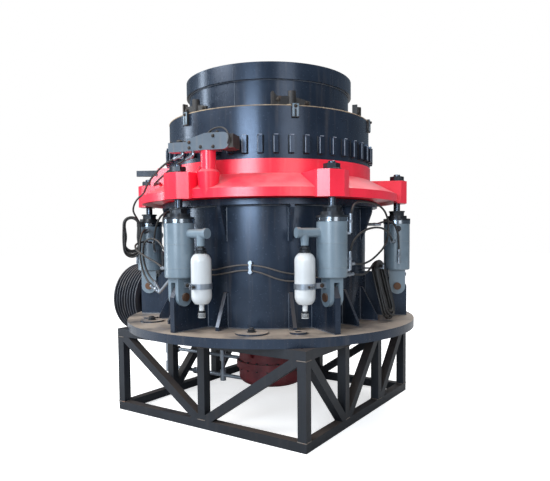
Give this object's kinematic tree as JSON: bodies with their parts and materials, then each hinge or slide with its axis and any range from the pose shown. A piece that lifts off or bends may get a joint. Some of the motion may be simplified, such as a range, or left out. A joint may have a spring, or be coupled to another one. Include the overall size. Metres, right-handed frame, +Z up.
{
  "type": "cone crusher",
  "caption": "Cone crusher with hydraulic release cylinders, gas bottles, toothed adjustment cap, feed hopper and grooved drive wheel, on a welded box-section stand.",
  "frame": {"origin": "on the crusher's vertical axis at floor level, in the plane of the stand's underside", "axes": "+Z up along the crusher's axis, the grooved drive wheel towards -X"},
  "size_m": [2.603, 2.208, 2.444],
  "materials": {
    "stand_paint": "satin",
    "frame_paint": "gloss",
    "primer": "matte",
    "ring_paint": "gloss",
    "cylinder_paint": "satin",
    "bottle_paint": "gloss",
    "cast_steel": "rough",
    "dark_steel": "oiled",
    "bright_steel": "polished",
    "pin_steel": "rusty",
    "zinc_plate": "galvanised",
    "wheel_iron": "matte",
    "hose_rubber": "matte",
    "line_sleeve": "matte"
  },
  "bodies": {
    "frame": {"stand_base_frame": "stand_paint", "stand_top_frame": "stand_paint", "stand_posts": "stand_paint", "stand_braces": "stand_paint", "base_plate": "frame_paint", "foundation_discs": "frame_paint", "frame_shell": "frame_paint", "seat_flange": "frame_paint", "shell_ribs": "frame_paint", "shell_gussets": "frame_paint", "cylinder_brackets": "frame_paint", "frame_hub": "primer", "hub_cover": "primer", "hub_arms": "primer", "hub_webs": "primer", "drive_housing": "primer", "crushing_head": "cast_steel", "feed_plate": "cast_steel", "release_cylinders": "cylinder_paint", "cylinder_bands": "bright_steel", "cylinder_glands": "dark_steel", "cylinder_clevises": "cylinder_paint", "clevis_pins": "pin_steel", "gas_bottles": "bottle_paint", "bottle_collars": "dark_steel", "bottle_valves": "dark_steel", "bottle_tees": "cylinder_paint", "bottle_straps": "zinc_plate", "oil_pipes": "zinc_plate", "front_lines": "line_sleeve", "side_hoses": "hose_rubber", "hose_fittings": "zinc_plate", "hose_holders": "zinc_plate", "right_hose_lead": "hose_rubber", "right_hose_hank": "hose_rubber", "right_hose_end": "zinc_plate"},
    "countershaft": {"drive_shaft": "bright_steel", "drive_wheel": "wheel_iron", "wheel_hub": "wheel_iron"},
    "ring": {"adjustment_ring": "ring_paint", "ring_neck": "ring_paint", "ring_lugs": "ring_paint", "release_rods": "bright_steel", "rod_nuts": "dark_steel", "pusher_post": "ring_paint", "ram_casing": "cylinder_paint", "ram_hose_lead": "hose_rubber", "ram_hose_hank": "hose_rubber", "ram_hose_end": "zinc_plate", "ram_hose_return": "hose_rubber", "ram_hose_fittings": "zinc_plate", "guide_bracket": "ring_paint", "guide_arm": "dark_steel"},
    "ram": {"pawl": "cast_steel"},
    "bowl": {"adjustment_cap": "frame_paint", "bowl": "frame_paint", "hopper_neck": "frame_paint", "hopper_rim": "frame_paint", "hopper_clamps": "frame_paint"}
  },
  "joints": [
    {"name": "drive_spin", "type": "hinge", "parent": "frame", "child": "countershaft", "pos_m": [-1.2, 0, 0.731], "axis": [1, 0, 0], "continuous": true},
    {"name": "ring_lift", "type": "slide", "parent": "frame", "child": "ring", "axis": [0, 0, 1], "range_m": [0, 0.05]},
    {"name": "bowl_turn", "type": "hinge", "parent": "ring", "child": "bowl", "pos_m": [0, 0, 1.787], "axis": [0, 0, 1], "range_deg": [-180, 180]},
    {"name": "ram_stroke", "type": "slide", "parent": "ring", "child": "ram", "axis": [0.9588, 0.284, 0], "range_m": [0, 0.06]}
  ]
}
